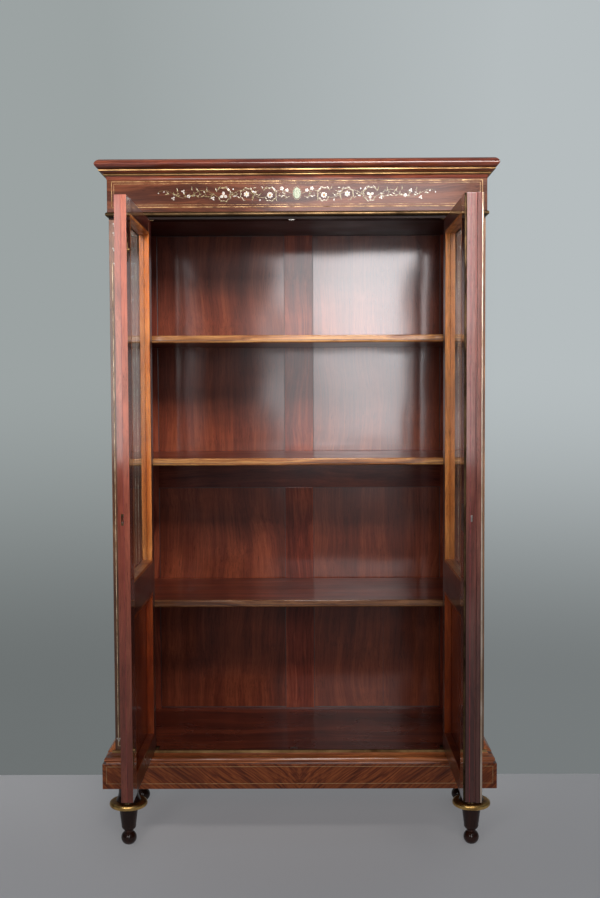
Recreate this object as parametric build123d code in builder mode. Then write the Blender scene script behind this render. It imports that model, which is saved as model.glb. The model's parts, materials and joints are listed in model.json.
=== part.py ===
"""Glazed two-door bookcase with three adjustable shelves.

Millimetres. +Z is up, the front looks along -Y and the face of the pilasters is Y = 0.
The doors stand open at a right angle, so the origin is the middle of the footprint at floor level.
Every moving piece is modelled closed or at rest and each door is then swung open as a set.
"""
from build123d import *
import os

# ------------------------------------------------------------------ driving dimensions
case_half = 551.0           # half width over the side boards
case_depth = 474.0          # pilaster face to the back of the case
height = 2040.0             # floor to the top of the crown

foot_height = 188.0
foot_front_x, foot_rear_x = 518.0, 528.0
foot_front_y, foot_rear_y = 28.0, 404.0
ring_low, ring_high, ring_radius, ring_bore = 116.0, 134.0, 57.0, 37.0
ring_round = 8.5            # radius on the ring's two edges

plinth_top = 263.0
plinth_projection = 34.0    # how far the plinth stands out from the case
plinth_thick = 36.0
block_size = 70.0
base_top = 296.0            # upper face of the base board, the floor of the lowest bay
fillet_low = 289.0          # brass fillet on the edge of the base board
fillet_depth = 8.0
side_moulding_top = 322.0

board = 24.0                # sides, pilasters and back frame
opening_half = 467.0        # clear half width between the pilasters
head_low = 1870.0           # underside of the rail over the doors
head_high = 1891.0          # underside of the frieze
astragal_low = 1878.0
head_depth = 50.0
ceiling_low = 1880.0
frieze_high = 1985.0
frieze_projection = 4.0
frieze_thick = 24.0
crown_backing = 20.0        # crown moulding reaches this far behind the case face
top_low, top_high = 2012.0, 2034.0

back_front = 450.0          # front face of the back frame
back_stile_edge = 470.0     # inner edge of each back stile
muntin_half = 47.0
back_rail_bottom = 300.0
back_rail_mid = (1045.0, 1139.0)
back_rail_top = 1884.0
panel_front, panel_thick = 456.0, 8.0

rack_thick, rack_wide = 12.0, 32.0
rack_ys = (60.0, 400.0)     # front edge of the front and the rear racks
notch_pitch, notch_depth, notch_rise = 30.5, 12.0, 20.0
notch_first, notch_count = 367.5, 48
cleat_height, cleat_thick = 15.0, 10.0
shelf_cleat_lows = {"lower": 703.0, "middle": 1130.0, "upper": 1496.0}
shelf_thick, shelf_half = 22.0, 513.0
shelf_front, shelf_lipping, shelf_back = 38.0, 12.0, 446.0

door_low, door_high = 302.5, 1866.0
door_front, door_thick = 1.0, 31.0
door_edge, door_gap = 465.5, 0.5      # outer edge, and half the gap at the middle
hinge_x, hinge_y = 464.0, -4.0        # door pivot, just in front of the corner of the door
hinge_stile, meeting_stile = 48.0, 70.0
panel_opening = (361.0, 772.0)        # lower wooden panel, bottom and top
glass_opening = (875.0, 1819.0)
rebate = 8.0
glass_front, glass_thick = 15.0, 3.0
door_panel_front, door_panel_thick = 6.0, 7.0
solid_gap = 0.1                       # glue line that keeps two sticks of one group apart

plate_thick, plate_long, plate_wide = 2.5, 44.0, 18.0
plate_x, plate_y = 443.0, 15.0        # middle of the part of a pivot plate that is let into the door
ear_radius, neck_wide, neck_long = 4.8, 6.0, 12.0
pin_radius, pin_clearance, pin_length = 2.5, 0.05, 4.5
bolt_x, bolt_y, bolt_radius, bolt_clearance = 16.0, 16.5, 4.0, 0.05
bolt_length = 150.0
lock_z, lock_height, lock_from, lock_to = 1040.0, 70.0, 12.0, 58.0
lock_front = 8.0
lock_bolt_y, lock_bolt_z = (11.0, 15.0), (1032.0, 1048.0)
lock_bolt_clearance = 0.3
lock_bolt_set_back = 0.5

door_back = door_front + door_thick
case_inner = case_half - board        # inner face of the side boards
pieces = {}


def block(x, y, z, mode=Mode.ADD):
    """Box between the given pairs of limits."""
    middle = ((x[0] + x[1]) / 2, (y[0] + y[1]) / 2, (z[0] + z[1]) / 2)
    with Locations(middle):
        Box(abs(x[1] - x[0]), abs(y[1] - y[0]), abs(z[1] - z[0]), mode=mode)


def sided(side, x):
    """The same pair of X limits on the left (-1) or the right (+1)."""
    return (side * x[0], side * x[1])


def keep(name, builder):
    pieces[name] = builder.part


# ------------------------------------------------------------------ feet and plinth
def turned_foot(x, y):
    """Ball, neck, cup, seat for the brass ring, and a hollow bell up to the plinth."""
    with BuildPart() as foot:
        with BuildSketch(Plane(origin=(x, y, 0), x_dir=(1, 0, 0), z_dir=(0, -1, 0))):
            with BuildLine():
                Line((0, 0), (11, 0))
                ThreePointArc((11, 0), (23.2, 19), (13.5, 38))
                Line((13.5, 38), (13.5, 43))
                ThreePointArc((13.5, 43), (19.5, 48), (22, 58))
                Polyline((22, 58), (28.5, 112), (ring_bore, ring_low), (ring_bore, ring_high + 2))
                ThreePointArc((ring_bore, ring_high + 2), (31, 150), (29, 166))
                Polyline((29, 166), (29, 176), (34, foot_height), (0, foot_height), (0, 0))
            make_face()
        revolve(axis=Axis((x, y, 0), (0, 0, 1)))
    return foot


foot_places = {
    "foot_front_left": (-foot_front_x, foot_front_y),
    "foot_front_right": (foot_front_x, foot_front_y),
    "foot_rear_left": (-foot_rear_x, foot_rear_y),
    "foot_rear_right": (foot_rear_x, foot_rear_y),
}
for foot_name, place in foot_places.items():
    keep(foot_name, turned_foot(*place))

with BuildPart() as foot_rings:
    for x, y in foot_places.values():
        with Locations((x, y, (ring_low + ring_high) / 2)):
            Cylinder(ring_radius, ring_high - ring_low)
    fillet(foot_rings.edges().filter_by(GeomType.CIRCLE), ring_round)
    for x, y in foot_places.values():
        with Locations((x, y, (ring_low + ring_high) / 2)):
            Cylinder(ring_bore, ring_high, mode=Mode.SUBTRACT)
keep("foot_rings", foot_rings)

plinth_half = case_half + plinth_projection
plinth_inner = plinth_half - plinth_thick
plinth_inner_y = plinth_thick - plinth_projection
plinth_z = (foot_height, plinth_top)

with BuildPart() as plinth_front:
    block((-plinth_half, plinth_half), (-plinth_projection, plinth_inner_y), plinth_z)
keep("plinth_front", plinth_front)

with BuildPart() as plinth_sides_and_back:
    for side in (-1, 1):
        block(sided(side, (plinth_inner, plinth_half)), (plinth_inner_y, case_depth), plinth_z)
    back_half = plinth_inner - solid_gap
    block((-back_half, back_half), (case_depth - plinth_thick, case_depth), plinth_z)
keep("plinth_sides_and_back", plinth_sides_and_back)

with BuildPart() as plinth_corner_blocks:
    for side in (-1, 1):
        for y in (plinth_inner_y, case_depth - plinth_thick - block_size):
            block(sided(side, (plinth_inner - block_size, plinth_inner)), (y, y + block_size), plinth_z)
keep("plinth_corner_blocks", plinth_corner_blocks)

# ------------------------------------------------------------------ base board and mouldings
strike_half, strike_thick, strike_bore, strike_depth = 11.0, 2.0, 4.6, 14.0

with BuildPart() as base_board:
    block((-case_half, case_half), (0, back_front), (plinth_top, base_top))
    block((-bolt_x - strike_half, -bolt_x + strike_half), (bolt_y - strike_half, bolt_y + strike_half),
          (base_top - strike_thick, base_top), Mode.SUBTRACT)
    with Locations((-bolt_x, bolt_y, base_top - strike_depth / 2)):
        Cylinder(strike_bore, strike_depth, mode=Mode.SUBTRACT)
keep("base_board", base_board)


def mitred_runs(section, reach=60.0):
    """Front run and two side runs of one moulding, mitred at the front corners.

    The section has X as the projection from the case and Y as the height.
    """
    runs = []
    gap = solid_gap
    with BuildPart() as front:
        with BuildSketch(Plane(origin=(0, 0, 0), x_dir=(0, -1, 0), z_dir=(-1, 0, 0))):
            add(section)
        extrude(amount=case_half + reach, both=True)
        with BuildSketch(Plane.XY.offset(1)) as plan:
            Polygon((-case_half - reach + gap, -reach), (case_half + reach - gap, -reach),
                    (case_half - reach - gap, reach), (-case_half + reach + gap, reach), align=None)
        extrude(plan.sketch, amount=height + reach, mode=Mode.INTERSECT)
    runs.append(front.part)
    for side in (-1, 1):
        start = -reach if side < 0 else case_depth
        with BuildPart() as run:
            with BuildSketch(Plane(origin=(side * case_half, start, 0), x_dir=(side, 0, 0),
                                   z_dir=(0, -side, 0))):
                add(section)
            extrude(amount=case_depth + reach)
            with BuildSketch(Plane.XY) as plan:
                Polygon((side * (case_half + reach), -reach), (side * (case_half + reach), case_depth),
                        (side * (case_half - reach), case_depth), (side * (case_half - reach), reach),
                        align=None)
            extrude(plan.sketch, amount=height + reach, mode=Mode.INTERSECT)
        runs.append(run.part)
    return runs


def base_outline():
    """Torus over a quirk, under a shallow hollow."""
    with BuildSketch() as section:
        with BuildLine():
            Polyline((0, plinth_top), (24.5, plinth_top), (24.5, 266))
            ThreePointArc((24.5, 266), (29.3, 273.5), (24.5, 281))
            ThreePointArc((24.5, 281), (15, 283.5), (10, fillet_low))
            Polyline((10, fillet_low), (0, fillet_low), (0, plinth_top))
        make_face()
    return section.sketch


def astragal_outline():
    """Half-round."""
    with BuildSketch() as section:
        with BuildLine():
            Line((0, astragal_low), (3, astragal_low))
            ThreePointArc((3, astragal_low), (9.5, (astragal_low + head_high) / 2), (3, head_high))
            Polyline((3, head_high), (0, head_high), (0, astragal_low))
        make_face()
    return section.sketch


bead_low, bead_high, line_low, line_high = 1995.0, 2001.0, 2008.0, 2011.0
bead_seat, bead_nose, line_seat, line_nose = 8.5, 13.5, 21.0, 25.0


def crown_outline():
    """Hollow, seat for the brass bead, cove, seat for the brass line, and a bold torus."""
    with BuildSketch() as section:
        with BuildLine():
            Line((-crown_backing, frieze_high), (5, frieze_high))
            ThreePointArc((5, frieze_high), (5.8, 1990), (bead_seat, bead_low))
            Line((bead_seat, bead_low), (bead_seat, bead_high))
            ThreePointArc((bead_seat, bead_high), (16, 2003.4), (line_seat, line_low))
            Polyline((line_seat, line_low), (line_seat, line_high), (20, line_high), (20, 2012))
            ThreePointArc((20, 2012), (30, 2016.6), (36, 2025))
            Line((36, 2025), (36, 2027.5))
            ThreePointArc((36, 2027.5), (31.5, 2034.8), (24, height))
            Polyline((24, height), (-crown_backing, height), (-crown_backing, frieze_high))
        make_face()
    return section.sketch


def bead_outline():
    with BuildSketch() as section:
        with BuildLine():
            Polyline((bead_nose - 2.5, bead_low), (bead_seat, bead_low), (bead_seat, bead_high),
                     (bead_nose - 2.5, bead_high))
            ThreePointArc((bead_nose - 2.5, bead_high), (bead_nose, (bead_low + bead_high) / 2),
                          (bead_nose - 2.5, bead_low))
        make_face()
    return section.sketch


def line_outline():
    with BuildSketch() as section:
        with BuildLine():
            Polyline((line_seat, line_low), (line_seat, line_high), (line_nose, line_high),
                     (line_nose, line_low), (line_seat, line_low))
        make_face()
    return section.sketch


for moulding_name, outline in (("base_moulding", base_outline), ("astragal_moulding", astragal_outline),
                               ("crown_moulding", crown_outline)):
    moulding_runs = mitred_runs(outline())
    with BuildPart() as moulding:
        for run in moulding_runs:
            add(run)
    keep(moulding_name, moulding)

with BuildPart() as base_side_mouldings:
    for side in (-1, 1):
        start = 0 if side < 0 else case_depth
        with BuildSketch(Plane(origin=(side * case_half, start, 0), x_dir=(side, 0, 0),
                               z_dir=(0, -side, 0))):
            with BuildLine():
                Polyline((0, side_moulding_top), (0, fillet_low), (24, fillet_low))
                ThreePointArc((24, fillet_low), (11.5, 304), (2, side_moulding_top))
                Line((2, side_moulding_top), (0, side_moulding_top))
            make_face()
        extrude(amount=case_depth)
keep("base_side_mouldings", base_side_mouldings)

brass_runs = mitred_runs(bead_outline()) + mitred_runs(line_outline())
with BuildPart() as brass_fillets:
    fillet_half = case_half + fillet_depth
    block((-fillet_half, fillet_half), (-fillet_depth, 0), (fillet_low, base_top))
    for run in brass_runs:
        add(run)
keep("brass_fillets", brass_fillets)

# ------------------------------------------------------------------ case
for side, side_name in ((-1, "left"), (1, "right")):
    with BuildPart() as pilaster:
        block(sided(side, (opening_half, case_half)), (0, board), (base_top, head_low))
    keep(f"pilaster_{side_name}", pilaster)

    with BuildPart() as side_board:
        block(sided(side, (case_inner, case_half)), (board, case_depth), (base_top, head_high))
    keep(f"side_{side_name}", side_board)

with BuildPart() as head_rail:
    block((-case_half, case_half), (0, board), (head_low, head_high))
    block((-case_inner, case_inner), (board, head_depth), (head_low, head_high))
    block((-bolt_x - strike_half, -bolt_x + strike_half), (bolt_y - strike_half, bolt_y + strike_half),
          (head_low, head_low + strike_thick), Mode.SUBTRACT)
    with Locations((-bolt_x, bolt_y, head_low + strike_depth / 2)):
        Cylinder(strike_bore, strike_depth, mode=Mode.SUBTRACT)
keep("head_rail", head_rail)

with BuildPart() as ceiling_board:
    block((-case_inner, case_inner), (head_depth, back_front), (ceiling_low, head_high))
keep("ceiling_board", ceiling_board)

frieze_half = case_half + frieze_projection
frieze_back_y = frieze_thick - frieze_projection

with BuildPart() as frieze_front:
    block((-frieze_half, frieze_half), (-frieze_projection, frieze_back_y), (head_high, frieze_high))
keep("frieze_front", frieze_front)

with BuildPart() as frieze_returns:
    for side in (-1, 1):
        block(sided(side, (frieze_half - frieze_thick, frieze_half)), (frieze_back_y, case_depth),
              (head_high, frieze_high))
keep("frieze_returns", frieze_returns)

with BuildPart() as top_board:
    top_half = case_half - crown_backing
    block((-top_half, top_half), (crown_backing, case_depth), (top_low, top_high))
keep("top_board", top_board)

# ------------------------------------------------------------------ framed back
frame_y = (back_front, case_depth)

with BuildPart() as back_uprights:
    for side in (-1, 1):
        block(sided(side, (back_stile_edge, case_inner)), frame_y, (plinth_top, top_low))
    block((-muntin_half, muntin_half), frame_y, (back_rail_bottom, back_rail_mid[0]))
    block((-muntin_half, muntin_half), frame_y, (back_rail_mid[1], back_rail_top))
keep("back_uprights", back_uprights)

with BuildPart() as back_rails:
    for limits in ((plinth_top, back_rail_bottom), back_rail_mid, (back_rail_top, top_low)):
        block((-back_stile_edge, back_stile_edge), frame_y, limits)
keep("back_rails", back_rails)

with BuildPart() as back_panels:
    for side in (-1, 1):
        for limits in ((back_rail_bottom, back_rail_mid[0]), (back_rail_mid[1], back_rail_top)):
            block(sided(side, (muntin_half, back_stile_edge)),
                  (panel_front, panel_front + panel_thick), limits)
keep("back_panels", back_panels)

# ------------------------------------------------------------------ toothed racks, cleats and shelves
with BuildPart() as shelf_racks:
    for side in (-1, 1):
        for y in rack_ys:
            block(sided(side, (case_inner - rack_thick, case_inner)), (y, y + rack_wide),
                  (base_top, ceiling_low))
    with BuildSketch(Plane.YZ) as teeth:
        front_edge = rack_ys[0] + rack_wide
        rear_edge = rack_ys[1]
        for index in range(notch_count):
            ledge = notch_first + index * notch_pitch
            Polygon((front_edge, ledge), (front_edge - notch_depth, ledge),
                    (front_edge, ledge + notch_rise), align=None)
            Polygon((rear_edge, ledge), (rear_edge + notch_depth, ledge),
                    (rear_edge, ledge + notch_rise), align=None)
    extrude(teeth.sketch, amount=case_inner, both=True, mode=Mode.SUBTRACT)
keep("shelf_racks", shelf_racks)

with BuildPart() as shelf_cleats:
    tip = notch_depth - 0.4
    foot_of_front, foot_of_rear = rack_ys[0] + rack_wide, rack_ys[1]
    for low in shelf_cleat_lows.values():
        for side in (-1, 1):
            middle = case_inner - rack_thick / 2
            with BuildSketch(Plane.YZ.offset(side * middle)):
                Polygon((foot_of_front - tip, low), (foot_of_rear + tip, low),
                        (foot_of_rear - 0.2, low + cleat_height), (foot_of_front + 0.2, low + cleat_height),
                        align=None)
            extrude(amount=cleat_thick / 2, both=True)
keep("shelf_cleats", shelf_cleats)

for shelf_name, low in shelf_cleat_lows.items():
    shelf_z = (low + cleat_height, low + cleat_height + shelf_thick)
    with BuildPart() as shelf:
        block((-shelf_half, shelf_half), (shelf_front + shelf_lipping, shelf_back), shelf_z)
    keep(f"shelf_{shelf_name}", shelf)

    with BuildPart() as lipping:
        lip_low, lip_high = shelf_z
        with BuildSketch(Plane.YZ.offset(-shelf_half)):
            with BuildLine():
                Line((shelf_front + shelf_lipping, lip_low), (shelf_front + 6, lip_low))
                ThreePointArc((shelf_front + 6, lip_low), (shelf_front + 2, lip_low + 1.7),
                              (shelf_front, lip_low + 6))
                Line((shelf_front, lip_low + 6), (shelf_front, lip_high - 3))
                ThreePointArc((shelf_front, lip_high - 3), (shelf_front + 0.9, lip_high - 0.9),
                              (shelf_front + 3, lip_high))
                Polyline((shelf_front + 3, lip_high), (shelf_front + shelf_lipping, lip_high),
                         (shelf_front + shelf_lipping, lip_low))
            make_face()
        extrude(amount=2 * shelf_half)
    keep(f"shelf_{shelf_name}_lipping", lipping)


# ------------------------------------------------------------------ door pivots and bolt strikes
def pivot_plate(side, low, bored, thick=plate_thick, mode=Mode.ADD):
    """Flat plate with a round ear that carries the pivot in front of the door's face."""
    with BuildSketch(Plane.XY.offset(low)) as plate:
        with Locations((side * plate_x, plate_y)):
            Rectangle(plate_long, plate_wide)
        with Locations((side * (hinge_x - ear_radius + neck_wide / 2), hinge_y + neck_long / 2)):
            Rectangle(neck_wide, neck_long)
        with Locations((side * hinge_x, hinge_y)):
            Circle(ear_radius)
            if bored:
                Circle(pin_radius + pin_clearance, mode=Mode.SUBTRACT)
    extrude(plate.sketch, amount=thick, mode=mode)


leaf_lows = (door_low - 1.0, door_high - 1.5)
lower_plate_thick = 2 * plate_thick

with BuildPart() as pivot_plates:
    for side in (-1, 1):
        pivot_plate(side, base_top, bored=False, thick=lower_plate_thick)
        pivot_plate(side, head_low - plate_thick, bored=False)
        for pin_low in (base_top + lower_plate_thick, head_low - plate_thick - pin_length):
            with Locations((side * hinge_x, hinge_y, pin_low + pin_length / 2)):
                Cylinder(pin_radius, pin_length)
keep("pivot_plates", pivot_plates)

with BuildPart() as bolt_strikes:
    strike_y = (bolt_y - strike_half, bolt_y + strike_half)
    strike_x = (-bolt_x - strike_half, -bolt_x + strike_half)
    block(strike_x, strike_y, (base_top - strike_thick, base_top))
    block(strike_x, strike_y, (head_low, head_low + strike_thick))
    with Locations((-bolt_x, bolt_y, height / 2)):
        Cylinder(strike_bore, height, mode=Mode.SUBTRACT)
keep("bolt_strikes", bolt_strikes)

# ------------------------------------------------------------------ doors, modelled closed
door_z = (door_low, door_high)
door_y = (door_front, door_back)
glass_inner = (meeting_stile + door_gap, door_edge - hinge_stile)   # opening between the stiles
door_pieces = {-1: {}, 1: {}}


def cut_rebates(side):
    """Rebates round the glass and round the panel, cut from the inner face."""
    x = (glass_inner[0] - rebate, glass_inner[1] + rebate)
    for opening, front in ((glass_opening, glass_front), (panel_opening, door_panel_front)):
        block(sided(side, x), (front, door_back), (opening[0] - rebate, opening[1] + rebate), Mode.SUBTRACT)


def ring_of_beads(side, front, opening):
    """Four sticks that fill the rebate behind a pane or a panel."""
    low, high = opening[0] - rebate, opening[1] + rebate
    y = (front, door_back)
    for x in ((glass_inner[0] - rebate, glass_inner[0]), (glass_inner[1], glass_inner[1] + rebate)):
        block(sided(side, x), y, (low, high))
    between = (glass_inner[0] + solid_gap, glass_inner[1] - solid_gap)
    for z in ((low, low + rebate), (high - rebate, high)):
        block(sided(side, between), y, z)


keyhole_x = 34.0
bolt_plate_half, bolt_plate_thick = 9.0, 2.0
bolt_plates = {"top": (1700.0, 1770.0), "bottom": (396.0, 466.0)}
bolt_knobs = {"top": 1729.0, "bottom": 437.0}
bolt_slots = {"top": (1723.0, 1747.0), "bottom": (419.0, 443.0)}
slot_half = 2.8
keeper_x, keeper_y, keeper_z, keeper_deep = 2.5, (9.5, 16.5), (1025.0, 1055.0), 13.0
strip_depth, strip_width, strip_thick = 8.0, 5.0, 3.0
cover_to, cover_lap, cover_let_in, cover_front = 14.0, 6.0, 5.0, -8.0
neck_half, neck_front = 6.0, -11.0            # neck between the cover strip and its brass bead
bead_half, bead_front, bead_radius = 8.0, -16.0, 4.5
cover_middle = (cover_to - cover_lap) / 2
keyhole_radius, keyhole_slot, keyhole_drop = 3.5, 3.0, 12.0
lock_slot_end = 48.0

bolt_hole_y = (lock_bolt_y[0] - lock_bolt_clearance, lock_bolt_y[1] + lock_bolt_clearance)
bolt_hole_z = (lock_bolt_z[0] - lock_bolt_clearance, lock_bolt_z[1] + lock_bolt_clearance)

for side, side_name in ((-1, "left"), (1, "right")):
    kept = door_pieces[side]

    with BuildPart() as hinge_post:
        block(sided(side, (door_edge - hinge_stile, door_edge)), door_y, door_z)
        cut_rebates(side)
        for low in leaf_lows:
            pivot_plate(side, low, bored=False, mode=Mode.SUBTRACT)
    kept[f"{side_name}_hinge_stile"] = hinge_post.part

    with BuildPart() as rails:
        for limits in ((door_low, panel_opening[0]), (panel_opening[1], glass_opening[0]),
                       (glass_opening[1], door_high)):
            block(sided(side, glass_inner), door_y, limits)
        cut_rebates(side)
    kept[f"{side_name}_rails"] = rails.part

    with BuildPart() as pane:
        slack = rebate - 1
        block(sided(side, (glass_inner[0] - slack, glass_inner[1] + slack)),
              (glass_front, glass_front + glass_thick),
              (glass_opening[0] - slack, glass_opening[1] + slack))
    kept[f"{side_name}_glass"] = pane.part

    with BuildPart() as panel:
        block(sided(side, (glass_inner[0] - slack, glass_inner[1] + slack)),
              (door_panel_front, door_panel_front + door_panel_thick),
              (panel_opening[0] - slack, panel_opening[1] + slack))
    kept[f"{side_name}_panel"] = panel.part

    with BuildPart() as beads:
        ring_of_beads(side, glass_front + glass_thick, glass_opening)
        ring_of_beads(side, door_panel_front + door_panel_thick, panel_opening)
    kept[f"{side_name}_beads"] = beads.part

    with BuildPart() as leaves:
        for low in leaf_lows:
            pivot_plate(side, low, bored=True)
    kept[f"{side_name}_hinge_leaves"] = leaves.part

left, right = door_pieces[-1], door_pieces[1]

# the left door closes first and is held by a bolt at the top and one at the bottom
with BuildPart() as left_meeting_stile:
    block((-meeting_stile - door_gap, -door_gap), door_y, door_z)
    cut_rebates(-1)
    for end, (plate_low, plate_high) in bolt_plates.items():
        bore_z = (plate_low, door_high) if end == "top" else (door_low, plate_high)
        with Locations((-bolt_x, bolt_y, sum(bore_z) / 2)):
            Cylinder(bolt_radius + bolt_clearance, bore_z[1] - bore_z[0], mode=Mode.SUBTRACT)
        block((-bolt_x - slot_half, -bolt_x + slot_half), (bolt_y, door_back), bolt_slots[end],
              Mode.SUBTRACT)
        block((-bolt_x - bolt_plate_half, -bolt_x + bolt_plate_half),
              (door_back - bolt_plate_thick, door_back), (plate_low, plate_high), Mode.SUBTRACT)
    block((-keeper_x, -door_gap), keeper_y, keeper_z, Mode.SUBTRACT)
    block((-keeper_x - keeper_deep, -keeper_x), bolt_hole_y, bolt_hole_z, Mode.SUBTRACT)
left["left_meeting_stile"] = left_meeting_stile.part

with BuildPart() as bolt_guide_plates:
    for end, limits in bolt_plates.items():
        block((-bolt_x - bolt_plate_half, -bolt_x + bolt_plate_half),
              (door_back - bolt_plate_thick, door_back), limits)
        block((-bolt_x - slot_half, -bolt_x + slot_half), (bolt_y, door_back), bolt_slots[end],
              Mode.SUBTRACT)
left["bolt_guide_plates"] = bolt_guide_plates.part

for end, rod_z in (("top", (door_high - bolt_length, door_high)),
                   ("bottom", (door_low, door_low + bolt_length))):
    knob_z = bolt_knobs[end]
    with BuildPart() as bolt:
        with Locations((-bolt_x, bolt_y, sum(rod_z) / 2)):
            Cylinder(bolt_radius, bolt_length)
        with BuildSketch(Plane(origin=(-bolt_x, bolt_y, knob_z), x_dir=(1, 0, 0), z_dir=(0, 1, 0))):
            Circle(2.5)
        extrude(amount=door_back + 2 - bolt_y)
        with BuildSketch(Plane(origin=(-bolt_x, door_back + 1, knob_z), x_dir=(1, 0, 0), z_dir=(0, 1, 0))):
            Circle(5)
        extrude(amount=4)
        fillet(bolt.faces().sort_by(Axis.Y)[-1].edges(), 1.5)
    left[f"{end}_bolt"] = bolt.part

with BuildPart() as lock_keeper:
    block((-keeper_x, -door_gap), keeper_y, keeper_z)
    block((-keeper_x, 0), bolt_hole_y, bolt_hole_z, Mode.SUBTRACT)
left["lock_keeper"] = lock_keeper.part

# the right door carries the lock and the cover strip that laps over the left door
with BuildPart() as right_meeting_stile:
    block((door_gap, meeting_stile + door_gap), door_y, door_z)
    cut_rebates(1)
    block((door_gap, door_gap + strip_depth), (door_back - strip_width, door_back), door_z, Mode.SUBTRACT)
    block((door_gap, cover_to), (door_front, cover_let_in), door_z, Mode.SUBTRACT)
    block((lock_from, lock_to), (lock_front, door_back),
          (lock_z - lock_height / 2, lock_z + lock_height / 2), Mode.SUBTRACT)
    block((door_gap, lock_from), bolt_hole_y, bolt_hole_z, Mode.SUBTRACT)
    with Locations(Location((keyhole_x, (door_front + lock_front) / 2, lock_z), (90, 0, 0))):
        Cylinder(keyhole_radius, lock_front - door_front, mode=Mode.SUBTRACT)
    block((keyhole_x - keyhole_slot / 2, keyhole_x + keyhole_slot / 2), (door_front, lock_front),
          (lock_z - keyhole_drop, lock_z), Mode.SUBTRACT)
right["right_meeting_stile"] = right_meeting_stile.part

with BuildPart() as meeting_strip:
    block((door_gap + strip_depth - strip_thick, door_gap + strip_depth),
          (door_back - strip_width, door_back), door_z)
right["meeting_strip"] = meeting_strip.part

with BuildPart() as cover_strip:
    lap_back = door_front - door_gap          # leaves the left door free to open
    block((-cover_lap, cover_to), (cover_front, lap_back), door_z)
    block((door_gap, cover_to), (lap_back, cover_let_in), door_z)
    block((cover_middle - neck_half, cover_middle + neck_half), (neck_front, cover_front), door_z)
right["cover_strip"] = cover_strip.part

with BuildPart() as cover_bead:
    block((cover_middle - bead_half, cover_middle + bead_half), (bead_front, neck_front), door_z)
    fillet(cover_bead.edges().filter_by(Axis.Z).group_by(Axis.Y)[0], bead_radius)
right["cover_bead"] = cover_bead.part

with BuildPart() as lock_case:
    block((lock_from, lock_to), (lock_front, door_back),
          (lock_z - lock_height / 2, lock_z + lock_height / 2))
    block((lock_from, lock_slot_end), bolt_hole_y, bolt_hole_z, Mode.SUBTRACT)
right["lock_case"] = lock_case.part

with BuildPart() as lock_bolt:
    block((door_gap + lock_bolt_set_back, keyhole_x), lock_bolt_y, lock_bolt_z)
right["lock_bolt"] = lock_bolt.part

with BuildPart() as escutcheon:
    with BuildSketch(Plane(origin=(keyhole_x, door_front, lock_z), x_dir=(1, 0, 0), z_dir=(0, -1, 0))):
        with Locations((0, -3)):
            Ellipse(11, 19)
        Circle(keyhole_radius, mode=Mode.SUBTRACT)
        with Locations((0, -keyhole_drop / 2)):
            Rectangle(keyhole_slot, keyhole_drop, mode=Mode.SUBTRACT)
    extrude(amount=1.5)
right["escutcheon"] = escutcheon.part

# ------------------------------------------------------------------ swing the doors open and write
for side, kept in door_pieces.items():
    pivot = Axis((side * hinge_x, hinge_y, 0), (0, 0, 1))
    for piece_name, piece in kept.items():
        pieces[piece_name] = piece.rotate(pivot, side * 90)

os.makedirs("parts", exist_ok=True)
for piece_name, piece in pieces.items():
    piece.label = piece_name
    export_step(piece, f"parts/{piece_name}.step")
print(len(pieces), "pieces")
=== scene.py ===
"""Looks of the glazed bookcase: woods, brass, inlay, glass and the small metalwork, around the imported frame.

Lengths are in metres, in the part's own frame: +Z up, the front looks along -Y. The doors stand open; what is
let into a door is laid out with the door closed and then swung open with it.
"""
import json
import math

import bmesh
import bpy
from mathutils import Matrix, Vector


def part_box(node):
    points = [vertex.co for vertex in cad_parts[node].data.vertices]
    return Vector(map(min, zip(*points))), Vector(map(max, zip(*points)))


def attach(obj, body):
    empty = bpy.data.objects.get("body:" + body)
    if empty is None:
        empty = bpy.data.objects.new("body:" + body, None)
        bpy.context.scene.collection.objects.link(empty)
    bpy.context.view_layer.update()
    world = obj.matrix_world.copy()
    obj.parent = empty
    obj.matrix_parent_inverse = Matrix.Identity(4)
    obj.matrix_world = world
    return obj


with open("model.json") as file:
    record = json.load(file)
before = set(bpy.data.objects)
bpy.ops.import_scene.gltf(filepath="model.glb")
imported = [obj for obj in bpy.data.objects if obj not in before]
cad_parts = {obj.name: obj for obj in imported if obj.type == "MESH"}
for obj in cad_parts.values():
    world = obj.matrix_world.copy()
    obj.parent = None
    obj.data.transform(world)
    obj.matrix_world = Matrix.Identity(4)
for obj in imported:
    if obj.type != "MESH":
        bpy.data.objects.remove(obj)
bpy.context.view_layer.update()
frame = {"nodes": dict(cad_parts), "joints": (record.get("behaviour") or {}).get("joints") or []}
nodes = frame["nodes"]
mm = 0.001

# ------------------------------------------------------------------ shader helpers


def srgb(red, green, blue):
    """A colour as it looks, 0 to 255, as a linear RGBA value."""
    def linear(value):
        value /= 255
        return value / 12.92 if value <= 0.04045 else ((value + 0.055) / 1.055) ** 2.4
    return (linear(red), linear(green), linear(blue), 1.0)


def new_material(name):
    """A node material with its node tree and its shader."""
    material = bpy.data.materials.new(name)
    material.use_nodes = True
    tree = material.node_tree
    return material, tree, tree.nodes["Principled BSDF"]


def add_node(tree, kind, inputs=None, **settings):
    """A shader node; an input given as a socket is linked, anything else is set."""
    node = tree.nodes.new("ShaderNode" + kind)
    for key, value in settings.items():
        setattr(node, key, value)
    for key, value in (inputs or {}).items():
        if isinstance(value, bpy.types.NodeSocket):
            tree.links.new(value, node.inputs[key])
        else:
            node.inputs[key].default_value = value
    return node


def ramp(tree, factor, *stops):
    """Colour ramp through (position, colour) stops."""
    node = add_node(tree, "ValToRGB", {"Fac": factor})
    elements = node.color_ramp.elements
    while len(elements) < len(stops):
        elements.new(0.5)
    for element, (position, colour) in zip(elements, stops):
        element.position = position
        element.color = colour if len(colour) == 4 else (*colour, 1.0)
    return node.outputs["Color"]


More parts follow.
